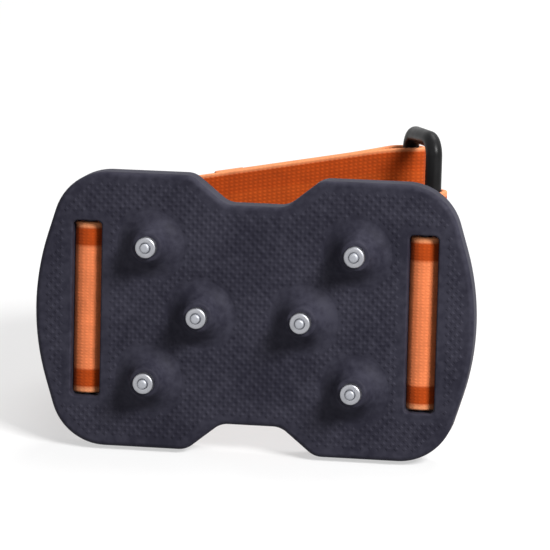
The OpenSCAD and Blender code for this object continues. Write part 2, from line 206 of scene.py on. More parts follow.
class Finishes(PropertyGroup):
    """Colours of the materials."""

    rubber: colour("Rubber", "Black rubber of the plate", "#282732")
    rubber_scuffed: colour("Scuffed rubber", "Rubber where it is rubbed pale", "#43424E")
    steel: colour("Steel", "Zinc-plated steel of the studs", "#9FA0A5")
    carbide: colour("Carbide", "Sintered carbide of the tips", "#A3A5AB")
    oxide: colour("Black oxide", "Blackened steel of the cross pins", "#3A3A3D")
    field: colour("Field", "Middle of the webbing's looped face", "#F08552")
    # The stripe is the webbing's own dark orange, darkened a little further as painted shade for the shadow at
    # the slots' ends
    stripe: colour("Stripe", "Stripes near the webbing's edges", "#B3450D")
    selvedge: colour("Selvedge", "Outermost threads of the webbing", "#F29A68")
    inner: colour("Plain face", "Plain inner face of the webbing", "#B84B12")
    thread: colour("Thread", "Sewing thread", "#A63E0C")
    hook: colour("Hook tape", "Moulded hook tape", "#C9551C")
    ring: colour("Ring", "Black nylon of the ring", "#101011")
    floor: colour("Floor", "Pale floor, as it is seen", "#F4F4F4")
    floor_dim: colour("Dim floor", "Pale floor, as it lights the object", "#808080")


class StageSizes(PropertyGroup):
    """Camera and light."""

    azimuth: turn("Azimuth", "How far the camera stands to the right of the plate's front", 9.0)
    elevation: turn("Elevation", "Height of the camera's line of sight above square with the plate", 8.4)
    distance: length("Distance", "Distance from the camera to the object's middle", 0.84)
    share: FloatProperty(
        name="Share", description="Share of the picture that the plate's width takes", default=0.78)
    roll: turn("Roll", "Tilt of the camera about its line of sight", 1.4)
    floor_size: length("Floor size", "Side of the square floor", 8)


def sizes(name):
    """The scene's own copy of one group of sizes."""
    return getattr(bpy.context.scene, "cleat_" + name)


def deselect():
    """Leaves edit mode and selects nothing."""
    if bpy.context.object and bpy.context.object.mode == "EDIT":
        bpy.ops.object.mode_set(mode="OBJECT")
    bpy.ops.object.select_all(action="DESELECT")


def named(name):
    """The primitive that was just added, under its own name."""
    piece = bpy.context.object
    piece.name = name
    piece.data.name = name
    return piece


def only(piece):
    """Makes a piece the one that operators act on."""
    deselect()
    piece.select_set(True)
    bpy.context.view_layer.objects.active = piece


def edit(piece, kind, test=None):
    """Opens a piece in edit mode with its elements of one kind selected that pass a test, or all of them."""
    only(piece)
    bpy.ops.object.mode_set(mode="EDIT")
    bpy.ops.mesh.select_mode(type={"verts": "VERT", "edges": "EDGE", "faces": "FACE"}[kind])
    bpy.ops.mesh.select_all(action="DESELECT")
    mesh = bmesh.from_edit_mesh(piece.data)
    for element in getattr(mesh, kind):
        if test is None or test(element):
            element.select_set(True)
    mesh.select_flush_mode()
    bmesh.update_edit_mesh(piece.data)


def done():
    """Back to object mode."""
    bpy.ops.object.mode_set(mode="OBJECT")


def applied():
    """Writes the place, turn and scale of the active piece into its mesh."""
    bpy.ops.object.transform_apply(location=True, rotation=True, scale=True)


def draw_out(x, y, z):
    """Extrudes the selected faces of the open piece."""
    bpy.ops.mesh.extrude_region_move(TRANSFORM_OT_translate={"value": (x, y, z)})


def turned_to(x, y, z):
    """A turn that brings the three axes to these directions."""
    return Matrix((x, y, z)).transposed().to_4x4()


def modify(piece, kind, **settings):
    """Adds a modifier with its settings and applies it."""
    only(piece)
    modifier = piece.modifiers.new(kind.title(), kind)
    for key, value in settings.items():
        setattr(modifier, key, value)
    bpy.ops.object.modifier_apply(modifier=modifier.name)


def cut(piece, cutter, operation="DIFFERENCE"):
    """Cuts a piece with another mesh, or joins them, and throws the other away."""
    modify(piece, "BOOLEAN", object=cutter, operation=operation, solver="EXACT")
    bpy.data.objects.remove(cutter)


def copies(piece, places, name):
    """One piece made of a copy of a mesh at each place, each copy with its own faces."""
    mesh = bmesh.new()
    for place in places:
        part = piece.data.copy()
        part.transform(place)
        mesh.from_mesh(part)
        bpy.data.meshes.remove(part)
    mesh.to_mesh(piece.data)
    mesh.free()
    piece.name = name
    piece.data.name = name
    return piece


def outwards(piece):
    """Merges doubles and turns all faces outwards."""
    edit(piece, "verts")
    bpy.ops.mesh.remove_doubles(threshold=1e-6)
    bpy.ops.mesh.normals_make_consistent(inside=False)
    done()


def smooth(piece, angle=35):
    """Smooth shading up to an angle in degrees."""
    only(piece)
    bpy.ops.object.shade_smooth_by_angle(angle=radians(angle))


def finished(piece, body, slot, *materials):
    """Leans a piece back with the part, gives it its materials if it has none and puts it on its body."""
    piece.data.transform(LEANING)
    if materials:
        dress(piece, *materials)
    if body:
        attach(piece, body)


def dress(piece, *materials):
    """Gives a piece these materials, in the order of its slots."""
    piece.data.materials.clear()
    for material in materials:
        piece.data.materials.append(material)


# Materials


def feed(tree, node, inputs):
    """Gives inputs of a node a value, or an output to link."""
    for key, value in inputs.items():
        if isinstance(value, bpy.types.NodeSocket):
            tree.links.new(value, node.inputs[key])
        else:
            node.inputs[key].default_value = value


def add_node(tree, kind, inputs=None, **settings):
    """Adds a node with its settings. Inputs take a value, or an output to link."""
    node = tree.nodes.new(kind)
    for key, value in settings.items():
        setattr(node, key, value)
    feed(tree, node, inputs or {})
    return node


def new_material(name):
    """An empty material, its tree and its one shader."""
    material = bpy.data.materials.get(name)
    if material:
        bpy.data.materials.remove(material)
    material = bpy.data.materials.new(name)
    material.use_nodes = True
    tree = material.node_tree
    shader = tree.nodes["Principled BSDF"]
    return material, tree, shader


def opaque(rgb):
    """A colour of three channels with full alpha."""
    return [*rgb, 1]


def shaded(rgb, share):
    """A darker or paler shade of a colour."""
    return [channel * share for channel in rgb]


def per_metre(millimetres):
    """Scale of a pattern whose grains are this many millimetres across."""
    return 1 / (millimetres * MM)


def moulded_rubber():
    """Black rubber moulded in a blasted steel tool: dull and even, with a soft grain and pale rubbed tops."""
    finish = sizes("finish")
    plate = sizes("plate")
    material, tree, shader = new_material("moulded_rubber")
    place = add_node(tree, "ShaderNodeTexCoord").outputs["Object"]
    upright = add_node(tree, "ShaderNodeMapping", {"Vector": place, "Rotation": (LEAN, 0, 0)})
    cloud = add_node(tree, "ShaderNodeTexNoise", {"Vector": place, "Scale": per_metre(14), "Detail": 5})
    # The tool's grain is about 0.4 mm; it is drawn coarser so that it shows
    grain = add_node(tree, "ShaderNodeTexNoise", {"Vector": place, "Scale": per_metre(1.5), "Detail": 5})
    # Boss tops stand out past the face, where the ground rubs them pale
    depth = add_node(tree, "ShaderNodeSeparateXYZ", {"Vector": upright.outputs["Vector"]})
    top = -plate.thickness - plate.boss_height
    rubbed_depth = 1.4 * MM
    crown = add_node(
        tree, "ShaderNodeMapRange",
        {"Value": depth.outputs["Y"], "From Min": top + rubbed_depth, "From Max": top, "To Max": 0.5})
    rubbed = add_node(
        tree, "ShaderNodeMath", {0: crown.outputs["Result"], 1: grain.outputs["Fac"]}, operation="MULTIPLY")
    uneven = add_node(
        tree, "ShaderNodeMath", {0: cloud.outputs["Fac"], 1: grain.outputs["Fac"]}, operation="ADD")
    shade = add_node(
        tree, "ShaderNodeMapRange",
        {"Value": uneven.outputs["Value"], "From Min": 0.8, "From Max": 1.2, "To Min": 0, "To Max": 0.55})
    wear = add_node(
        tree, "ShaderNodeMath", {0: rubbed.outputs["Value"], 1: shade.outputs["Result"]}, operation="MAXIMUM")
    mixed = add_node(
        tree, "ShaderNodeMix",
        {"Factor": wear.outputs["Value"], 6: opaque(finish.rubber), 7: opaque(finish.rubber_scuffed)},
        data_type="RGBA")
    rough = add_node(
        tree, "ShaderNodeMapRange",
        {"Value": grain.outputs["Fac"], **NOISE_RANGE, "To Min": 0.54, "To Max": 0.66})
    bump = add_node(
        tree, "ShaderNodeBump", {"Height": grain.outputs["Fac"], "Strength": 0.4, "Distance": 0.2 * MM})
    feed(tree, shader, {
        "Base Color": mixed.outputs[2], "Roughness": rough.outputs["Result"],
        "Normal": bump.outputs["Normal"], "Specular IOR Level": 0.08})
    return material


def turned_metal(name, rgb, roughness, pitch):
    """Metal turned on a lathe: fine rings round the axis, and dull where the tool dragged."""
    material, tree, shader = new_material(name)
    turned = add_node(tree, "ShaderNodeUVMap", uv_map="turned").outputs["UV"]
    rings = add_node(
        tree, "ShaderNodeTexWave",
        {"Vector": turned, "Scale": WAVE_LENGTH * per_metre(pitch), "Distortion": 1.5, "Detail": 2},
        wave_type="BANDS", bands_direction="X")
    place = add_node(tree, "ShaderNodeTexCoord").outputs["Object"]
    stain = add_node(tree, "ShaderNodeTexNoise", {"Vector": place, "Scale": per_metre(1.6), "Detail": 4})
    rough = add_node(
        tree, "ShaderNodeMapRange",
        {"Value": stain.outputs["Fac"], **NOISE_RANGE,
         "To Min": roughness - 0.08, "To Max": roughness + 0.12})
    tone = add_node(
        tree, "ShaderNodeMapRange",
        {"Value": stain.outputs["Fac"], "From Min": 0.35, "From Max": 0.75, "To Min": 0, "To Max": 0.25})
    mixed = add_node(
        tree, "ShaderNodeMix",
        {"Factor": tone.outputs["Result"], 6: opaque(rgb), 7: opaque(shaded(rgb, 0.62))},
        data_type="RGBA")
    bump = add_node(
        tree, "ShaderNodeBump", {"Height": rings.outputs["Fac"], "Strength": 0.25, "Distance": 0.03 * MM})
    feed(tree, shader, {
        "Base Color": mixed.outputs[2], "Roughness": rough.outputs["Result"],
        "Normal": bump.outputs["Normal"], "Metallic": 1})
    return material


def blackened_steel():
    """Drawn steel wire with a black oxide: dark, with faint scratches along the wire."""
    finish = sizes("finish")
    material, tree, shader = new_material("blackened_steel")
    place = add_node(tree, "ShaderNodeTexCoord").outputs["Object"]
    along = add_node(
        tree, "ShaderNodeMapping",
        {"Vector": place, "Rotation": (LEAN, 0, 0), "Scale": (1, 1, 0.05)})
    scratch = add_node(
        tree, "ShaderNodeTexNoise", {"Vector": along.outputs["Vector"], "Scale": per_metre(0.4), "Detail": 3})
    rough = add_node(
        tree, "ShaderNodeMapRange",
        {"Value": scratch.outputs["Fac"], **NOISE_RANGE, "To Min": 0.25, "To Max": 0.45})
    feed(tree, shader, {
        "Base Color": opaque(finish.oxide), "Roughness": rough.outputs["Result"], "Metallic": 1})
    return material


def webbing_face(name, field, selvedge, rib, soft):
    """Woven polyester: cross ribs with painted shade in their valleys, a dark stripe and a pale selvedge at
    both edges, and a dry sheen.
    """
    finish = sizes("finish")
    half = sizes("strap").width / 2
    stripe = 5.6 * MM
    blur = 0.35 * MM
    material, tree, shader = new_material(name)
    weave = add_node(tree, "ShaderNodeUVMap", uv_map="weave").outputs["UV"]
    split = add_node(tree, "ShaderNodeSeparateXYZ", {"Vector": weave})
    across = add_node(tree, "ShaderNodeMath", {0: split.outputs["Y"]}, operation="ABSOLUTE").outputs["Value"]
    dyed = opaque(field)
    for start, rgb in ((half - stripe, finish.stripe), (half - selvedge, finish.selvedge)):
        step = add_node(
            tree, "ShaderNodeMapRange", {"Value": across, "From Min": start - blur, "From Max": start + blur})
        dyed = add_node(
            tree, "ShaderNodeMix",
            {"Factor": step.outputs["Result"], 6: dyed, 7: opaque(rgb)}, data_type="RGBA").outputs[2]
    # Yarns are about 0.5 mm; they are drawn at the rib's pitch so that they show
    ribs = add_node(
        tree, "ShaderNodeTexWave",
        {"Vector": weave, "Scale": WAVE_LENGTH * per_metre(rib), "Distortion": 0.6, "Detail": 2,
         "Detail Scale": 3},
        wave_type="BANDS", bands_direction="X")
    warp = add_node(
        tree, "ShaderNodeTexWave",
        {"Vector": weave, "Scale": WAVE_LENGTH * per_metre(rib * 0.75), "Distortion": 0.4},
        wave_type="BANDS", bands_direction="Y")
    yarns = add_node(
        tree, "ShaderNodeMath", {0: ribs.outputs["Fac"], 1: warp.outputs["Fac"]}, operation="MULTIPLY")
    fuzz = add_node(tree, "ShaderNodeTexNoise", {"Vector": weave, "Scale": per_metre(0.6), "Detail": 6})
    faded = add_node(tree, "ShaderNodeTexNoise", {"Vector": weave, "Scale": per_metre(4), "Detail": 3})
    height = add_node(
        tree, "ShaderNodeMix",
        {"Factor": soft, 2: yarns.outputs["Value"], 3: fuzz.outputs["Fac"]}, data_type="FLOAT").outputs[0]
    # Painted shade: the colour is drawn darker in the valleys between the yarns and a little lighter on their
    # ridges; bright multiplies this painted shade with the random fading
    painted_valley_shade = add_node(
        tree, "ShaderNodeMapRange",
        {"Value": height, "From Min": 0, "From Max": 0.7, "To Min": 0.8, "To Max": 1.06})
    patchy = add_node(
        tree, "ShaderNodeMapRange",
        {"Value": faded.outputs["Fac"], **NOISE_RANGE, "To Min": 0.88, "To Max": 1.08})
    bright = add_node(
        tree, "ShaderNodeMath",
        {0: painted_valley_shade.outputs["Result"], 1: patchy.outputs["Result"]}, operation="MULTIPLY")
    toned = add_node(tree, "ShaderNodeHueSaturation", {"Value": bright.outputs["Value"], "Color": dyed})
    bump = add_node(tree, "ShaderNodeBump", {"Height": height, "Strength": 0.5, "Distance": 0.2 * MM})
    feed(tree, shader, {
        "Base Color": toned.outputs["Color"], "Normal": bump.outputs["Normal"], "Roughness": 0.85,
        "Specular IOR Level": 0.15, "Sheen Weight": 0.06, "Sheen Roughness": 0.5})
    return material


def pile_face():
    """Outer face of the webbing, brushed into loops: light orange between dark stripes."""
    return webbing_face("brushed_polyester", sizes("finish").field, selvedge=1.3 * MM, rib=1.0, soft=0.6)


def plain_face():
    """Inner face of the webbing, left unbrushed: darker, with plain cross ribs."""
    return webbing_face("woven_polyester", sizes("finish").inner, selvedge=0.7 * MM, rib=1.2, soft=0.2)


def spun_yarn(name, rgb, grain):
    """Twisted polyester: a dull thread with a little variation along it."""
    material, tree, shader = new_material(name)
    place = add_node(tree, "ShaderNodeTexCoord").outputs["Object"]
    twist = add_node(tree, "ShaderNodeTexNoise", {"Vector": place, "Scale": per_metre(grain), "Detail": 3})
    mixed = add_node(
        tree, "ShaderNodeMix",
        {"Factor": twist.outputs["Fac"], 6: opaque(rgb), 7: opaque(shaded(rgb, 0.6))}, data_type="RGBA")
    bump = add_node(
        tree, "ShaderNodeBump", {"Height": twist.outputs["Fac"], "Strength": 0.4, "Distance": 0.08 * MM})
    feed(tree, shader, {
        "Base Color": mixed.outputs[2], "Normal": bump.outputs["Normal"], "Roughness": 0.75})
    return material


def moulded_nylon():
    """Black nylon from a polished tool: a soft gloss with faint flow marks."""
    finish = sizes("finish")
    material, tree, shader = new_material("moulded_nylon")
    place = add_node(tree, "ShaderNodeTexCoord").outputs["Object"]
    flow = add_node(tree, "ShaderNodeTexNoise", {"Vector": place, "Scale": per_metre(3), "Detail": 4})
    rough = add_node(
        tree, "ShaderNodeMapRange",
        {"Value": flow.outputs["Fac"], **NOISE_RANGE, "To Min": 0.28, "To Max": 0.44})
    mixed = add_node(
        tree, "ShaderNodeMix",
        {"Factor": flow.outputs["Fac"], 6: opaque(finish.ring), 7: opaque(shaded(finish.ring, 1.8))},
        data_type="RGBA")
    feed(tree, shader, {
        "Base Color": mixed.outputs[2], "Roughness": rough.outputs["Result"], "Specular IOR Level": 0.12})
    return material


# Plate


def towards(angle):
    """Unit vector in the plane at an angle in radians."""
    return Vector((cos(angle), sin(angle)))


def arc(centre, radius, first, last, steps, side=1):
    """Points along an arc. Hollow corners have side -1."""
    return [
        Vector(centre) + side * radius * towards(first + (last - first) * k / steps)
        for k in range(steps + 1)
    ]


def mirrored(points, x, z):
    """Points with the sign of each direction kept or turned."""
    return [Vector((x * point.x, z * point.y)) for point in points]


def all_round(quarter, back):
    """A closed outline from one quarter of it and the same quarter drawn backwards."""
    return quarter + mirrored(back, -1, 1) + mirrored(quarter, -1, -1) + mirrored(back, 1, -1)


def flat_face(name, points, radius, y, x=0):
    """One face at a depth, drawn from a disc. Its corners go to points in x and z, moved along x."""
    deselect()
    bpy.ops.mesh.primitive_circle_add(vertices=len(points), radius=radius, fill_type="NGON")
    piece = named(name)
    for vertex, point in zip(piece.data.vertices, points):
        vertex.co = (x + point.x, y, point.y)
    return piece


def plate_outline(plate):
    """The plate's outline in x and z: a quarter of rounded corners, mirrored twice."""
    half_w = plate.width / 2
    half_h = plate.height / 2
    bow_x = half_w - plate.bow
    reach = bow_x * cos(plate.end_slope) + plate.bow
    corner_z = half_h - plate.corner
    corner_x = (reach - plate.corner - corner_z * sin(plate.end_slope)) / cos(plate.end_slope)
    slope = atan(2 * plate.notch_depth / (plate.notch_mouth - plate.notch_floor))
    notch_reach = half_h * cos(slope) - plate.notch_mouth / 2 * sin(slope)
    mouth_z = half_h - plate.notch_round
    mouth_x = (mouth_z * cos(slope) - notch_reach + plate.notch_round) / sin(slope)
    floor_z = half_h - plate.notch_depth + plate.notch_round
    floor_x = (floor_z * cos(slope) - notch_reach - plate.notch_round) / sin(slope)
    quarter = (
        arc((bow_x, 0), plate.bow, 0, plate.end_slope, 8)
        + arc((corner_x, corner_z), plate.corner, plate.end_slope, pi / 2, 16)
        + arc((mouth_x, mouth_z), plate.notch_round, pi / 2, pi / 2 + slope, 8)
        + arc((floor_x, floor_z), plate.notch_round, pi / 2 + slope, pi / 2, 8, -1)
    )
    return all_round(quarter, quarter[:0:-1])


def bezier(a, b, c, steps):
    """Points of a curve from a to c, drawn towards b."""
    a, b, c = Vector(a), Vector(b), Vector(c)
    shares = [k / steps for k in range(steps + 1)]
    return [a * (1 - t) ** 2 + b * 2 * t * (1 - t) + c * t ** 2 for t in shares]


def stud_places():
    """Where each stud's axis crosses the boot face, with the plate's outside along +Z of the place."""
    places = []
    for number in STUD_NUMBERS:
        low, high = upright_box(f"stud_{number}")
        middle = (low + high) / 2
        places.append(Matrix.Translation((middle.x, 0, middle.z)) @ Matrix.Rotation(pi / 2, 4, "X"))
    return places


def revolved(name, profile, sides):
    """A solid drawn up ring by ring from a disc, through points of radius and height."""
    deselect()
    first = profile[0]
    bpy.ops.mesh.primitive_circle_add(
        vertices=sides, radius=first[0], fill_type="NGON", location=(0, 0, first[1]))
    piece = named(name)
    applied()
    edit(piece, "faces")
    for below, above in zip(profile, profile[1:]):
        draw_out(0, 0, above[1] - below[1])
        share = above[0] / below[0]
        bpy.ops.transform.resize(value=(share, share, 1), center_override=(0, 0, above[1]))
    done()
    outwards(piece)
    return piece


def boss(plate):
    """One boss, rooted in the plate: a hollow flank that rises ever steeper, and a rounded crown."""
    foot = plate.boss_foot / 2, plate.thickness
    crown = plate.boss_top / 2, plate.thickness + plate.boss_height

    def beside(corner, out, up):
        """A point some millimetres out and up from a corner of the boss."""
        return corner[0] + out * MM, corner[1] + up * MM

    root = [Vector(beside(foot, 0.7, -1.5))]
    flank = bezier(beside(foot, 0.7, -0.05), beside(foot, -2.4, 0.4), beside(crown, 0.5, -0.6), 16)
    rounding = bezier(beside(crown, 0.4, -0.35), beside(crown, 0.2, 0), beside(crown, -0.3, 0), 5)
    return revolved("boss", root + flank + rounding, 72)


def slot_cutter(plate, x):
    """A strap slot's space: a bar with rounded corners, which spreads into a round lip at the stud face."""
    half_w = plate.slot_width / 2
    half_l = plate.slot_length / 2
    corner = plate.slot_corner
    lip = plate.slot_lip
    quarter = arc((half_w - corner, half_l - corner), corner, 0, pi / 2, 6)
    last_y, last_wide = plate.thickness, 0
    cutter = flat_face("slot_space", all_round(quarter, quarter[::-1]), half_l, last_y, x)
    turns = [pi / 2 * k / 5 for k in range(6)]
    levels = [(lip - lip * sin(t) - plate.thickness, lip - lip * cos(t)) for t in turns]
    levels.append((-2 * plate.thickness, lip))
    edit(cutter, "faces")
    for y, wide in levels:
        draw_out(0, y - last_y, 0)
        shares = [(half + wide) / (half + last_wide) for half in (half_w, half_l)]
        bpy.ops.transform.resize(value=(shares[0], 1, shares[1]), center_override=(x, y, 0))
        last_y, last_wide = y, wide
    done()
    outwards(cutter)
    return cutter


def flare_cutter(plate, x):
    """The flare of a slot towards the boot: a bar that widens at 45 degrees."""
    start = joint_plan("loop_swing").y - plate.flare_start
    over = 0.6 * MM
    deselect()
    bpy.ops.mesh.primitive_cube_add(
        size=1, location=(x, (start + over) / 2, 0),
        scale=(plate.slot_width, over - start, plate.slot_length - plate.slot_corner))
    cutter = named("flare_space")
    applied()
    edit(cutter, "faces", lambda face: face.normal.y > 0.9)
    widened = 1 + 2 * (over - start) / plate.slot_width
    bpy.ops.transform.resize(value=(widened, 1, 1), center_override=(x, over, 0))
    done()
    return cutter


def pin_cutter(stud, x):
    """The seat of a cross pin in the rubber."""
    low, high = upright_box("left_strap_pin")
    deselect()
    bpy.ops.mesh.primitive_cylinder_add(
        vertices=24, radius=stud.pin / 2 + stud.gap, depth=high.z - low.z + 2 * stud.gap,
        location=(x, joint_plan("loop_swing").y, 0))
    cutter = named("pin_space")
    applied()
    return cutter


def stud_cutter(stud):
    """The space of all studs in the rubber: a bore with a counterbore for the flange."""
    wide = stud.flange / 2 + stud.gap
    narrow = stud.shank / 2 + stud.gap
    step = stud.flange_sunk + stud.flange_thick + stud.gap
    profile = [(wide, -1 * MM), (wide, step), (narrow, step + 0.01 * MM), (narrow, stud.reach)]
    return copies(revolved("stud_space", profile, 40), stud_places(), "stud_spaces")


class CLEAT_OT_traction_plate(Operator):
    """Moulds the rubber plate with its bosses, slots and stud seats"""

    bl_idname = "cleat.traction_plate"
    bl_label = "Traction plate"

    def execute(self, context):
        plate = sizes("plate")
        stud = sizes("stud")
        piece = flat_face("rubber_plate", plate_outline(plate), plate.width / 2, 0)
        edit(piece, "faces")
        draw_out(0, -plate.thickness, 0)
        done()
        outwards(piece)
        for y, rounding, segments in ((-plate.thickness, plate.rim, 6), (0, plate.rim / 2, 4)):
            edit(piece, "edges", lambda e: all(abs(v.co.y - y) < 1e-6 for v in e.verts))
            bpy.ops.mesh.bevel(offset=rounding, segments=segments, affect="EDGES")
            done()
        cut(piece, copies(boss(plate), stud_places(), "bosses"), "UNION")
        cut(piece, stud_cutter(stud))
        for name in SLOT_JOINTS:
            x = joint_plan(name).x
            cut(piece, slot_cutter(plate, x))
            cut(piece, flare_cutter(plate, x))
            cut(piece, pin_cutter(stud, x))
        outwards(piece)
        smooth(piece)
        modify(piece, "WEIGHTED_NORMAL", keep_sharp=True)
        finished(piece, "plate", "moulded_rubber", moulded_rubber())
        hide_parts("traction_plate")
        return {"FINISHED"}


def inside_outline(points, x, z):
    """Is a point inside a closed outline? Counts the outline's crossings to one side."""
    inside = False
    for a, b in zip(points, points[1:] + points[:1]):
        if (a.y > z) != (b.y > z) and x < a.x + (z - a.y) * (b.x - a.x) / (b.y - a.y):
            inside = not inside
    return inside


class CLEAT_OT_grip_texture(Operator):
    """Covers the stud face with rows of small moulded pips, left out round bosses, slots and rim"""

    bl_idname = "cleat.grip_texture"
    bl_label = "Grip texture"

    def execute(self, context):
        plate = sizes("plate")
        pitch = plate.pip_pitch
        half = 0.46 * pitch
        top = 0.3 * half
        sunk = 0.08 * MM
        count_x = int(plate.width / pitch) + 1
        count_z = int(plate.height / pitch) + 1
        deselect()
        bpy.ops.mesh.primitive_cone_add(
            vertices=4, radius1=half, radius2=top, depth=plate.pip_height + sunk)
        piece = named("grip_pips")
        first = Vector((-(count_x - 1) / 2 * pitch, 0, -(count_z - 1) / 2 * pitch))
        base = -plate.thickness + sunk - (plate.pip_height + sunk) / 2
        piece.data.transform(
            Matrix.Translation((first.x, base, first.z)) @ Matrix.Rotation(pi / 2, 4, "X"))
        step = pitch / 2
        for count, offset in ((count_x, (pitch, 0, 0)), (count_z, (0, 0, pitch)), (2, (step, 0, step))):
            modify(piece, "ARRAY", count=count, constant_offset_displace=offset,
                   use_relative_offset=False, use_constant_offset=True)
        outline = plate_outline(plate)
        bosses = [place.translation for place in stud_places()]
        slots = [joint_plan(name).x for name in SLOT_JOINTS]
        spare = 0.2 * MM
        margin = plate.rim + half + spare
        around = [margin * towards(k * pi / 4) for k in range(8)]
        kept = {}

        def clear(x, z):
            """Is a place on the open face?"""
            near_boss = any(
                hypot(x - p.x, z - p.z) < plate.boss_foot / 2 + half for p in bosses)
            near_slot = any(
                abs(x - p) < plate.slot_width / 2 + margin and abs(z) < plate.slot_length / 2 + margin
                for p in slots)
            on_face = all(inside_outline(outline, x + a.x, z + a.y) for a in around)
            return on_face and not near_boss and not near_slot

        def dropped(vertex):
            """Is a vertex part of a pip that isn't on the open face?"""
            i = round((vertex.co.x - first.x) / step)
            k = round((vertex.co.z - first.z) / step)
            # The corners of a pip belong to the nearest place of its own lattice
            if (i + k) % 2:
                dx = vertex.co.x - first.x - i * step
                dz = vertex.co.z - first.z - k * step
                if abs(dx) > abs(dz):
                    i += 1 if dx > 0 else -1
                else:
                    k += 1 if dz > 0 else -1
            if (i, k) not in kept:
                kept[i, k] = clear(first.x + i * step, first.z + k * step)
            return not kept[i, k]

        edit(piece, "verts", dropped)
        bpy.ops.mesh.delete(type="VERT")
        done()
        finished(piece, "plate", "moulded_rubber", bpy.data.materials["moulded_rubber"])
        return {"FINISHED"}


# Studs and pins


def turned_map(piece):
    """A UV map of radius and height, in metres, for the rings that a lathe leaves."""
    layer = piece.data.uv_layers.new(name="turned")
    for loop in piece.data.loops:
        place = piece.data.vertices[loop.vertex_index].co
        layer.data[loop.index].uv = (hypot(place.x, place.y), place.z)


class CLEAT_OT_studs(Operator):
    """Turns the six steel studs with their flanges, and the hard tips pressed into them"""

    bl_idname = "cleat.studs"
    bl_label = "Studs"

    def execute(self, context):
        stud = sizes("stud")
        finish = sizes("finish")
        shank = stud.shank / 2
        flange = stud.flange / 2
        bore = stud.tip / 2 + stud.gap
        low = stud.flange_sunk
        high = low + stud.flange_thick
        top = stud.reach
        edge = 0.25 * MM
        fillet = 0.3 * MM
        top_edge = 0.55 * MM
        dish = 0.12 * MM
        body = (
            bezier((flange - edge, low), (flange, low), (flange, low + edge), 3)
            + bezier((flange, high - edge), (flange, high), (flange - edge, high), 3)
            + [Vector((shank + fillet, high)), Vector((shank, high + fillet))]
            + bezier((shank, top - top_edge), (shank, top), (shank - top_edge, top), 5)
            + bezier((bore + dish + edge, top), (bore + dish, top), (bore + dish / 2, top - dish / 2), 3)
            + [Vector((bore, top - dish)), Vector((bore, top - stud.tip_in))]
        )
        crown = top + stud.tip_out
        tip = stud.tip / 2
        tip_edge = 0.5 * MM
        ground = 0.35 * tip
        pin = [Vector((tip, top - stud.tip_in + stud.gap))] + bezier(
            (tip, crown - tip_edge), (tip, crown), (ground, crown), 6)
        steel = turned_metal("zinc_plated_steel", finish.steel, roughness=0.4, pitch=0.25)
        carbide = turned_metal("sintered_carbide", finish.carbide, roughness=0.5, pitch=0.4)
        for number, place in zip(STUD_NUMBERS, stud_places()):
            for node, profile, slot, material in (
                (f"stud_{number}", body, "stud_steel", steel),
                (f"stud_tip_{number}", pin, "hard_metal", carbide),
            ):
                piece = revolved(f"turned_{node}", profile, 48)
                turned_map(piece)
                smooth(piece, 30)
                piece.data.transform(place)
                finished(piece, "plate", slot, material)
                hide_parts(node)
        return {"FINISHED"}


class CLEAT_OT_cross_pins(Operator):
    """Finishes the two cross pins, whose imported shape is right"""

    bl_idname = "cleat.cross_pins"
    bl_label = "Cross pins"

    def execute(self, context):
        steel = blackened_steel()
        for node in ("left_strap_pin", "right_strap_pin"):
            dress(frame["nodes"][node], steel)
        return {"FINISHED"}


# Webbing


def clamped(share):
    """A share kept between 0 and 1."""
    return min(1, max(0, share))


def raised(plan, height):
    """A point of the plan at a height."""
    return Vector((plan.x, plan.y, height))


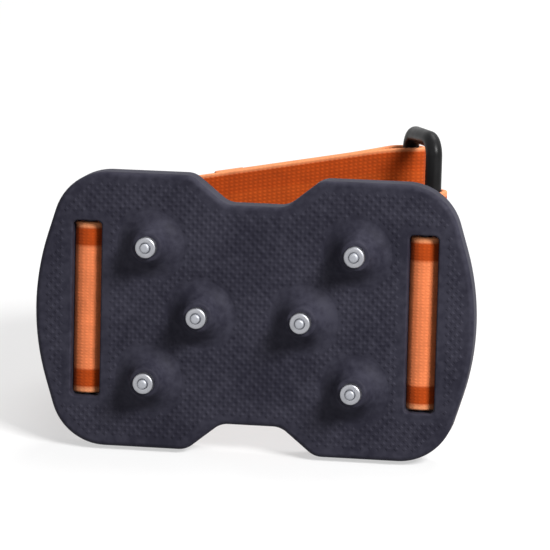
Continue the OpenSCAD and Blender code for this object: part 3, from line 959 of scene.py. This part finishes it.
class Loop:
    """Plan of the strap loop, upright: pins, bars, headings and heights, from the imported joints."""

    def __init__(self):
        strap = sizes("strap")
        self.strap = strap
        self.half_layer = (strap.thick + strap.layer_gap) / 2
        # The fold stands off its pin and spreads until it presses on the edges of the slot's flare
        plate = sizes("plate")
        slack = 0.1 * MM
        self.pin_r = sizes("stud").pin / 2 + strap.gap + slack + strap.thick / 2
        pressed = 0.08 * MM
        to_edge = hypot(plate.slot_width / 2, plate.flare_start)
        self.pin_bulge = to_edge + pressed - strap.thick / 2 - self.pin_r
        self.bar_r = strap.bar / 2 + strap.gap + strap.thick / 2
        self.left_pin = joint_plan("loop_swing")
        self.right_pin = joint_plan("ring_strap_swing")
        self.corner = joint_plan("corner_bend")
        self.near_bar = joint_plan("ring_turn")
        self.tail_root = joint_plan("tail_peel")
        self.far_bar = Vector((RING_LOW.x + strap.bar / 2, RING_HIGH.y - strap.bar / 2))
        outward = self.tail_root - self.far_bar
        self.run_heading = atan2(outward.y, outward.x) - pi / 2
        self.leg_heading = pi / 2 + strap.leg_turn
        self.bend_centre = self.corner - strap.bend * towards(strap.bend_heading + pi / 2)
        self.run_start = self.bend_centre + strap.bend * towards(self.run_heading + pi / 2)
        self.run_end = self.far_bar - self.bar_r * towards(self.run_heading + pi / 2)
        self.run_length = (self.run_end - self.run_start).length
        self.link = self.near_bar - self.right_pin
        # The webbing runs on edge, so its middle lies half its width below its top
        half_width = strap.width / 2
        self.bend_rise = STRAP_TOPS["strap_anchor_end"] - half_width
        self.ring_rise = STRAP_TOPS["strap_run"] - half_width
        self.link_rise = STRAP_TOPS["ring_strap"] - half_width
        self.run_slope = (self.ring_rise - self.bend_rise) / (self.run_length - strap.level)
        # The run takes most of the half turn round the far bar, and the tail the rest
        self.run_turn = 0.94 * pi
        self.hem_fold = strap.thick / 2 + 0.05 * MM
        self.patch_end = strap.tail - strap.hem - 0.3 * MM

    def round_pin(self, radius, side, bulge=0.0):
        """Points of a sewn loop round a pin at the origin, whose doubled part leaves along +X.

        The loop's sides stand further from the pin by the bulge.
        """
        steps = 24
        join = self.strap.join
        open_angle = atan2(self.half_layer, join) + acos(radius / hypot(join, self.half_layer))
        turns = [open_angle + (2 * pi - 2 * open_angle) * k / steps for k in range(steps + 1)]
        spread = [radius + bulge * sin(t) ** 2 for t in turns]
        return [Vector((r * cos(t), side * r * sin(t))) for r, t in zip(spread, turns)]

    def leg_height(self, along):
        """Rise of the leg's middle at a distance from its pin."""
        reach = (self.corner - self.left_pin).dot(towards(self.leg_heading))
        level = self.strap.level
        return self.bend_rise * clamped((along - level) / (reach - level))

    def run_height(self, along):
        """Rise of the run's middle at a distance from its start."""
        share = along / (self.run_length - self.strap.level)
        return self.bend_rise + (self.ring_rise - self.bend_rise) * clamped(share)

    def link_height(self, along):
        """Rise of the ring strap's middle at a distance from its pin."""
        level = self.strap.level
        share = (along - level) / (self.link.length - 2 * level)
        return self.link_rise * clamped(share)

    def tail_away(self, along):
        """Distance of the tail's middle from the run's middle."""
        strap = self.strap
        share = clamped(along / strap.tail_drop)
        return strap.tail_gap + (2 * self.bar_r - strap.tail_gap) * (1 + cos(pi * share)) / 2

    def tail_place(self, along, out=0.0, across=0.0):
        """A point of the tail at a distance from its root, moved outwards and across."""
        ahead = towards(self.run_heading)
        side = towards(self.run_heading + pi / 2)
        plan = self.run_end - along * ahead + (self.tail_away(along) + out) * side
        height = self.ring_rise - self.run_slope * max(0, along - self.strap.level)
        return raised(plan, height + across)

    def leg_place(self, along, out=0.0, across=0.0):
        """A point of the leg's middle at a distance from its pin, moved to the left and across."""
        plan = self.left_pin + along * towards(self.leg_heading) + out * towards(self.leg_heading + pi / 2)
        return raised(plan, self.leg_height(along) + across)

    def link_place(self, along, out=0.0, across=0.0):
        """A point of the ring strap's middle at a distance from its pin, moved to the left and across."""
        ahead = self.link.normalized()
        side = Vector((-ahead.y, ahead.x))
        plan = self.right_pin + along * ahead + out * side
        return raised(plan, self.link_height(along) + across)


def eased(points, rounds=2):
    """Cuts the corners of a line of points, so that bends run in smoothly."""
    for _ in range(rounds):
        cuts = [points[0]]
        for a, b in zip(points, points[1:]):
            cuts += [a.lerp(b, 0.25), a.lerp(b, 0.75)]
        points = cuts + [points[-1]]
    return points


def spaced(points, gap):
    """Points at about even distances along a line of points."""
    lengths = [0.0]
    for a, b in zip(points, points[1:]):
        lengths.append(lengths[-1] + (b - a).length)
    count = max(2, round(lengths[-1] / gap))
    result = []
    k = 0
    for i in range(count + 1):
        target = lengths[-1] * i / count
        while k < len(points) - 2 and lengths[k + 1] < target:
            k += 1
        span = lengths[k + 1] - lengths[k]
        result.append(points[k].lerp(points[k + 1], (target - lengths[k]) / span if span else 0))
    return result


def webbing(name, route, width, thick, faces, start=0.0, gap=0.45 * MM):
    """A strip of webbing on edge along a route, with a UV map of its length and width in metres.

    faces are the materials to the right and to the left of the route. The map counts its length from
    start, and the strip has corners at every gap of the route.
    """
    points = spaced(eased(route), gap)
    along = [start]
    for a, b in zip(points, points[1:]):
        along.append(along[-1] + (b - a).length)
    count = len(points) - 1
    rows = 20
    deselect()
    bpy.ops.mesh.primitive_grid_add(x_subdivisions=count, y_subdivisions=rows, size=1)
    piece = named(name)
    while piece.data.uv_layers:
        piece.data.uv_layers.remove(piece.data.uv_layers[0])
    layer = piece.data.uv_layers.new(name="weave")
    strip = {}
    for vertex in piece.data.vertices:
        i = round((vertex.co.x + 0.5) * count)
        v = vertex.co.y * width
        strip[vertex.index] = (along[i], v)
        vertex.co = points[i] + Vector((0, 0, v))
    for loop in piece.data.loops:
        layer.data[loop.index].uv = strip[loop.vertex_index]
    dress(piece, *faces)
    modify(piece, "SOLIDIFY", thickness=thick, offset=0, material_offset=1, material_offset_rim=1)
    edge = 0.35 * thick
    modify(piece, "BEVEL", width=edge, segments=3, limit_method="ANGLE", angle_limit=radians(60))
    smooth(piece, 50)
    return piece


class CLEAT_OT_long_strap(Operator):
    """Weaves the long strap: sewn loop on the left pin, leg, corner and run to the ring"""

    bl_idname = "cleat.long_strap"
    bl_label = "Long strap"

    def execute(self, context):
        loop = Loop()
        strap = loop.strap
        half = loop.half_layer
        # A point of the route near the join keeps the easing of the corner there short
        closed = strap.join + 6 * MM
        flat = [Vector((along, -half)) for along in (strap.sewn, closed, strap.join)]
        flat += loop.round_pin(loop.pin_r, -1, loop.pin_bulge)
        flat += [Vector((along, half)) for along in (strap.join, closed, strap.leg)]
        route = [loop.leg_place(point.x, point.y) for point in flat]
        bend = arc(loop.bend_centre, strap.bend, loop.leg_heading + pi / 2, loop.run_heading + pi / 2, 24)
        for point in bend[1:]:
            along = (point - loop.left_pin).dot(towards(loop.leg_heading))
            route.append(raised(point, loop.leg_height(along)))
        ahead = towards(loop.run_heading)
        for share in (0.15, 0.3, 0.45, 0.6, 0.75, 0.9):
            along = share * loop.run_length
            route.append(raised(loop.run_start + along * ahead, loop.run_height(along)))
        # Stiff webbing stands off the bar at the nose of its fold
        nose = 0.35 * MM
        steps = 24
        for k in range(steps + 1):
            turned = loop.run_turn * k / steps
            off = loop.bar_r + nose * sin(turned) ** 2
            point = loop.far_bar + off * towards(loop.run_heading - pi / 2 + turned)
            route.append(raised(point, loop.ring_rise))
        piece = webbing("long_strap", route, strap.width, strap.thick, (plain_face(), pile_face()))
        finished(piece, None, "webbing")
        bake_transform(piece)
        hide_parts("strap_anchor_end", "strap_run")
        return {"FINISHED"}


class CLEAT_OT_strap_tail(Operator):
    """Weaves the strap's tail, which lies back along the run and ends in a folded hem"""

    bl_idname = "cleat.strap_tail"
    bl_label = "Strap tail"

    def execute(self, context):
        loop = Loop()
        strap = loop.strap
        first = loop.run_heading - pi / 2
        rest = arc(loop.far_bar, loop.bar_r, first + loop.run_turn, first + pi, 4)
        route = [raised(point, loop.ring_rise) for point in rest]
        steps = 22
        end = strap.tail - strap.thick
        route += [loop.tail_place(end * k / steps) for k in range(1, steps + 1)]
        fold = loop.hem_fold
        for k in range(1, 9):
            turned = pi * k / 8
            route.append(loop.tail_place(end + fold * sin(turned), fold - fold * cos(turned)))
        hem = strap.tail - strap.hem
        route += [loop.tail_place(end + (hem - end) * k / 4, 2 * fold) for k in range(1, 5)]
        faces = bpy.data.materials["woven_polyester"], bpy.data.materials["brushed_polyester"]
        piece = webbing("strap_tail_end", route, strap.width, strap.thick, faces, start=0.16, gap=0.35 * MM)
        finished(piece, None, "webbing")
        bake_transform(piece)
        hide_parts("strap_tail")
        return {"FINISHED"}


class CLEAT_OT_ring_strap(Operator):
    """Weaves the short doubled strap between the right pin and the ring"""

    bl_idname = "cleat.ring_strap"
    bl_label = "Ring strap"

    def execute(self, context):
        loop = Loop()
        strap = loop.strap
        half = loop.half_layer
        far = loop.link.length
        seam = far / 2
        butt = 0.15 * MM

        def straight(first, last, out, steps=6):
            """Points along the strap, to the left of its middle."""
            return [Vector((first + (last - first) * k / steps, out)) for k in range(steps + 1)]

        flat = straight(seam - butt, strap.join, half)
        flat += loop.round_pin(loop.pin_r, 1, loop.pin_bulge)
        flat += straight(strap.join, far - strap.join, -half, 12)
        flat += [Vector((far - point.x, point.y)) for point in loop.round_pin(loop.bar_r, -1)]
        flat += straight(far - strap.join, seam + butt, half)
        route = [loop.link_place(point.x, point.y) for point in flat]
        faces = bpy.data.materials["brushed_polyester"], bpy.data.materials["woven_polyester"]
        piece = webbing("ring_strap_band", route, strap.width, strap.thick, faces, start=0.03)
        finished(piece, "short_strap", "webbing")
        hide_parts("ring_strap")
        return {"FINISHED"}


class CLEAT_OT_hook_patch(Operator):
    """Makes the hook patch on the inside of the tail: a backing and rows of small hooks"""

    bl_idname = "cleat.hook_patch"
    bl_label = "Hook patch"

    def execute(self, context):
        loop = Loop()
        strap = loop.strap
        finish = sizes("finish")
        start = loop.patch_end - strap.patch
        seat = 0.05 * MM
        face = -strap.thick / 2 - seat
        width = strap.width - 2 * strap.patch_margin
        steps = 12
        middle = face - strap.patch_base / 2
        route = [loop.tail_place(start + strap.patch * k / steps, middle) for k in range(steps + 1)]
        tape = spun_yarn("moulded_hook_tape", finish.hook, 0.5)
        backing = webbing("hook_backing", route, width, strap.patch_base, (tape, tape), gap=1 * MM)
        finished(backing, "tail", "hook_tape")
        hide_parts("hook_patch")
        hooks = self.hook()
        ahead = -Vector((*towards(loop.run_heading), -loop.run_slope)).normalized()
        inwards = -Vector((*towards(loop.run_heading + pi / 2), 0))
        lying = turned_to(ahead, inwards.cross(ahead), inwards)
        border = 0.7 * MM
        rooted = 0.05 * MM
        rows = int((strap.patch - 2 * border) / strap.hook_pitch)
        files = int((width - 2 * border) / strap.hook_pitch)
        places = []
        for i in range(rows + 1):
            along = start + border + i * strap.hook_pitch
            for k in range(files + 1):
                across = (k - files / 2) * strap.hook_pitch
                turned = Matrix.Rotation(pi * ((i + k) % 2), 4, "Z")
                foot = loop.tail_place(along, face - strap.patch_base + rooted, across)
                places.append(Matrix.Translation(foot) @ lying @ turned)
        piece = copies(hooks, places, "tape_hooks")
        smooth(piece, 60)
        finished(piece, "tail", "hook_tape", tape)
        return {"FINISHED"}

    def hook(self):
        """One hook: a stem drawn up from a disc, with its end bent over."""
        deselect()
        bpy.ops.mesh.primitive_circle_add(vertices=5, radius=0.17 * MM, fill_type="NGON")
        piece = named("hook")
        edit(piece, "faces")
        # Each step of the stem goes forwards and up, in millimetres, and is a share as thick as the last
        for x, z, share in ((0, 0.3, 0.85), (0.06, 0.16, 0.9), (0.16, 0.05, 0.85), (0.14, -0.07, 0.7)):
            draw_out(x * MM, 0, z * MM)
            bpy.ops.transform.resize(value=(share, share, 1))
        done()
        outwards(piece)
        return piece


class CLEAT_OT_stitching(Operator):
    """Sews the doubled straps, the hem and the hook patch with single stitches"""

    bl_idname = "cleat.stitching"
    bl_label = "Stitching"

    def execute(self, context):
        loop = Loop()
        strap = loop.strap
        finish = sizes("finish")
        thread = spun_yarn("polyester_thread", finish.thread, 0.3)
        # How far stitches keep from the edges, joins, cut ends and folds, and from the rims of hem and tape
        edge_margin = 3.5 * MM
        join_margin = 2.5 * MM
        cut_margin = 2 * MM
        fold_margin = 2.2 * MM
        rim_margin = 1.2 * MM
        face = strap.thick / 2
        outer = loop.half_layer + face
        edge = strap.width / 2 - edge_margin
        near = strap.join + join_margin
        far = loop.link.length
        sewn = [(near, strap.sewn - cut_margin)]
        ends = [(near, far / 2 - cut_margin), (far / 2 + cut_margin, far - near)]
        hem = (strap.tail - strap.hem + rim_margin, strap.tail - fold_margin)
        tape = (loop.patch_end - strap.patch + rim_margin, loop.patch_end - rim_margin)
        tape_edge = strap.width / 2 - strap.patch_margin - rim_margin
        for name, body, place, boxes, crossed, half, sides in (
            ("leg_stitching", "strap_leg", loop.leg_place, sewn, True, edge, (-outer, outer)),
            ("ring_strap_stitching", "short_strap", loop.link_place, ends, True, edge, (-outer, outer)),
            ("hem_stitching", "tail", loop.tail_place, [hem], False, edge, (-face, face + 2 * loop.hem_fold)),
            ("patch_stitching", "tail", loop.tail_place, [tape], False, tape_edge, (face,)),
        ):
            places = []
            for first, last in boxes:
                for out in sides:
                    for a, b in self.lines(first, last, half, crossed):
                        places += self.row(place, a, b, out)
            piece = copies(self.stitch(strap), places, name)
            smooth(piece, 60)
            finished(piece, body, "webbing", thread)
        return {"FINISHED"}

    def lines(self, first, last, half, crossed):
        """A sewn box, and the cross in it, as lines between points along and across."""
        corners = [(first, -half), (last, -half), (last, half), (first, half)]
        lines = list(zip(corners, corners[1:] + corners[:1]))
        if crossed:
            lines += [(corners[0], corners[2]), (corners[1], corners[3])]
        return lines

    def row(self, place, a, b, out):
        """A stitch at every pitch of a line, lying on the webbing's surface."""
        strap = sizes("strap")
        small = 0.2 * MM
        span = [b[j] - a[j] for j in (0, 1)]
        reach = hypot(*span)
        nudge = [small * step / reach for step in span]
        count = max(1, int(reach / strap.stitch_pitch))
        result = []
        for k in range(count):
            along, across = (a[j] + span[j] * (k + 0.5) / count for j in (0, 1))
            middle = place(along, out, across)
            normal = (place(along, out + small, across) - middle).normalized()
            ahead = (place(along + nudge[0], out, across + nudge[1]) - middle).normalized()
            turned = turned_to(ahead, normal.cross(ahead), normal)
            result.append(Matrix.Translation(middle) @ turned)
        return result

    def stitch(self, strap):
        """One stitch: a thread drawn out along X with its ends pulled down into the webbing."""
        deselect()
        bpy.ops.mesh.primitive_cylinder_add(
            vertices=8, radius=strap.thread / 2, depth=0.6 * strap.stitch, rotation=(0, pi / 2, 0))
        piece = named("stitch")
        applied()
        for side in (1, -1):
            edit(piece, "faces", lambda face: face.normal.x * side > 0.9)
            draw_out(side * 0.2 * strap.stitch, 0, -0.35 * strap.thread)
            bpy.ops.transform.resize(value=(1, 0.55, 0.55))
            done()
        return piece


class CLEAT_OT_strap_ring(Operator):
    """Moulds the ring: a round bar bent into a rectangle with rounded corners"""

    bl_idname = "cleat.strap_ring"
    bl_label = "Strap ring"

    def execute(self, context):
        loop = Loop()
        strap = loop.strap
        quarter_steps = 10
        deselect()
        bpy.ops.mesh.primitive_torus_add(
            major_radius=strap.ring_corner, minor_radius=strap.bar / 2,
            major_segments=4 * quarter_steps, minor_segments=24)
        piece = named("moulded_ring")
        piece.data.transform(Matrix.Rotation(pi / (4 * quarter_steps), 4, "Z"))
        # The torus is pulled apart at its quarters, which leaves straight bars between the corners
        tall = RING_HIGH.z - RING_LOW.z - strap.bar
        pull_x = (loop.far_bar - loop.near_bar).length / 2 - strap.ring_corner
        pull_y = tall / 2 - strap.ring_corner
        for x in (-1, 1):
            for y in (-1, 1):
                edit(piece, "verts", lambda v: v.co.x * x > 0 and v.co.y * y > 0)
                bpy.ops.transform.translate(value=(x * pull_x, y * pull_y, 0))
                done()
        smooth(piece, 60)
        middle = (loop.near_bar + loop.far_bar) / 2
        ahead = (loop.far_bar - loop.near_bar).normalized()
        across = Vector((ahead.y, -ahead.x, 0))
        axes = turned_to((ahead.x, ahead.y, 0), (0, 0, 1), across)
        rise = (RING_LOW.z + RING_HIGH.z) / 2
        piece.data.transform(Matrix.Translation((middle.x, middle.y, rise)) @ axes)
        finished(piece, "ring", "ring_plastic", moulded_nylon())
        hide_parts("strap_ring")
        return {"FINISHED"}


# Stage


def seen_directly(tree):
    """1 for what the eye sees, in a mirror or through glass too, and 0 for what only throws light."""
    ray = add_node(tree, "ShaderNodeLightPath").outputs
    seen = ray["Is Camera Ray"]
    for kind in ("Is Glossy Ray", "Is Transmission Ray"):
        seen = add_node(tree, "ShaderNodeMath", {0: seen, 1: ray[kind]}, operation="MAXIMUM").outputs["Value"]
    return seen


def pale_floor():
    """Matt white paint: bright and even, with only the object's soft shadow on it."""
    finish = sizes("finish")
    material, tree, shader = new_material("matt_white_floor")
    seen = seen_directly(tree)
    # The floor throws back little light, so that the side of the object that faces it stays dark
    paint = add_node(
        tree, "ShaderNodeMix",
        {"Factor": seen, 6: opaque(finish.floor_dim), 7: opaque(finish.floor)}, data_type="RGBA")
    feed(tree, shader, {"Base Color": paint.outputs[2], "Roughness": 0.9})
    glow = add_node(tree, "ShaderNodeMath", {0: seen, 1: 0.55}, operation="MULTIPLY")
    white = add_node(tree, "ShaderNodeEmission", {"Color": WHITE, "Strength": 1})
    mixed = add_node(
        tree, "ShaderNodeMixShader",
        {0: glow.outputs["Value"], 1: shader.outputs["BSDF"], 2: white.outputs["Emission"]})
    feed(tree, tree.nodes["Material Output"], {"Surface": mixed.outputs["Shader"]})
    return material


class CLEAT_OT_stage(Operator):
    """Sets up the pale floor, the soft light and the camera"""

    bl_idname = "cleat.stage"
    bl_label = "Stage"

    def execute(self, context):
        stage = sizes("stage")
        low, high = CAD_BOX
        middle = (low + high) / 2
        deselect()
        bpy.ops.mesh.primitive_plane_add(size=stage.floor_size, location=(0, 0, low.z))
        floor = named("floor")
        dress(floor, pale_floor())
        self.light("key", seen=(0.76, -0.65, 0.71), size=0.4, power=20)
        self.light("fill", seen=(-0.5, -1.2, 0.3), size=0.9, power=1.4)
        self.light("top", seen=(0.2, 0.3, 1.0), size=0.5, power=6)
        self.world()
        self.camera(stage, middle)
        context.scene.view_settings.view_transform = "Standard"
        return {"FINISHED"}

    def light(self, name, seen, size, power):
        """A square soft light that faces the object, at a place as seen from the plate."""
        place = LEANING @ Vector(seen)
        deselect()
        bpy.ops.object.light_add(type="AREA", location=place)
        lamp = bpy.context.object
        lamp.name = name
        lamp.data.shape = "SQUARE"
        lamp.data.size = size
        lamp.data.energy = power
        lamp.rotation_euler = (-place).to_track_quat("-Z", "Y").to_euler()

    def world(self):
        """White surroundings to look at, and a dimmer white that lights the object."""
        world = bpy.context.scene.world or bpy.data.worlds.new("studio")
        bpy.context.scene.world = world
        world.use_nodes = True
        tree = world.node_tree
        tree.nodes.clear()
        seen = seen_directly(tree)
        strength = add_node(tree, "ShaderNodeMapRange", {"Value": seen, "To Min": 0.15, "To Max": 1})
        back = add_node(
            tree, "ShaderNodeBackground", {"Color": WHITE, "Strength": strength.outputs["Result"]})
        add_node(tree, "ShaderNodeOutputWorld", {"Surface": back.outputs["Background"]})

    def camera(self, stage, middle):
        """A long lens at the photograph's angle, with the plate filling most of the width."""
        back = Vector((
            sin(stage.azimuth) * cos(stage.elevation),
            -cos(stage.azimuth) * cos(stage.elevation),
            sin(stage.elevation)))
        deselect()
        bpy.ops.object.camera_add(location=middle + LEANING @ back * stage.distance)
        camera = bpy.context.object
        camera.name = "camera"
        aim = (-back).to_track_quat("-Z", "Y").to_matrix()
        camera.rotation_euler = (LEANING.to_3x3() @ aim @ Matrix.Rotation(stage.roll, 3, "Z")).to_euler()
        plate = sizes("plate")
        camera.data.lens = camera.data.sensor_width * stage.share * stage.distance / plate.width
        camera.data.clip_start = 0.01
        bpy.context.scene.camera = camera


PIECES = (
    CLEAT_OT_traction_plate,
    CLEAT_OT_grip_texture,
    CLEAT_OT_studs,
    CLEAT_OT_cross_pins,
    CLEAT_OT_long_strap,
    CLEAT_OT_strap_tail,
    CLEAT_OT_ring_strap,
    CLEAT_OT_hook_patch,
    CLEAT_OT_stitching,
    CLEAT_OT_strap_ring,
    CLEAT_OT_stage,
)
GROUPS = {
    "plate": PlateSizes,
    "stud": StudSizes,
    "strap": StrapSizes,
    "finish": Finishes,
    "stage": StageSizes,
}


class CLEAT_PT_pieces(Panel):
    """Lists the pieces of the cleat, one button each"""

    bl_idname = "CLEAT_PT_pieces"
    bl_label = "Ice cleat"
    bl_space_type = "VIEW_3D"
    bl_region_type = "UI"
    bl_category = "Ice cleat"

    def draw(self, context):
        for piece in PIECES:
            self.layout.operator(piece.bl_idname)


def register():
    """Registers the sizes, the operators and the panel."""
    for name, group in GROUPS.items():
        bpy.utils.register_class(group)
        setattr(bpy.types.Scene, "cleat_" + name, PointerProperty(type=group))
    for piece in (*PIECES, CLEAT_PT_pieces):
        bpy.utils.register_class(piece)


def unregister():
    """Takes everything away again."""
    for piece in (CLEAT_PT_pieces, *reversed(PIECES)):
        bpy.utils.unregister_class(piece)
    for name, group in GROUPS.items():
        delattr(bpy.types.Scene, "cleat_" + name)
        bpy.utils.unregister_class(group)


def main():
    """Builds every piece in order."""
    register()
    for piece in PIECES:
        group, name = piece.bl_idname.split(".")
        getattr(getattr(bpy.ops, group), name)()


if __name__ == "__main__":
    main()
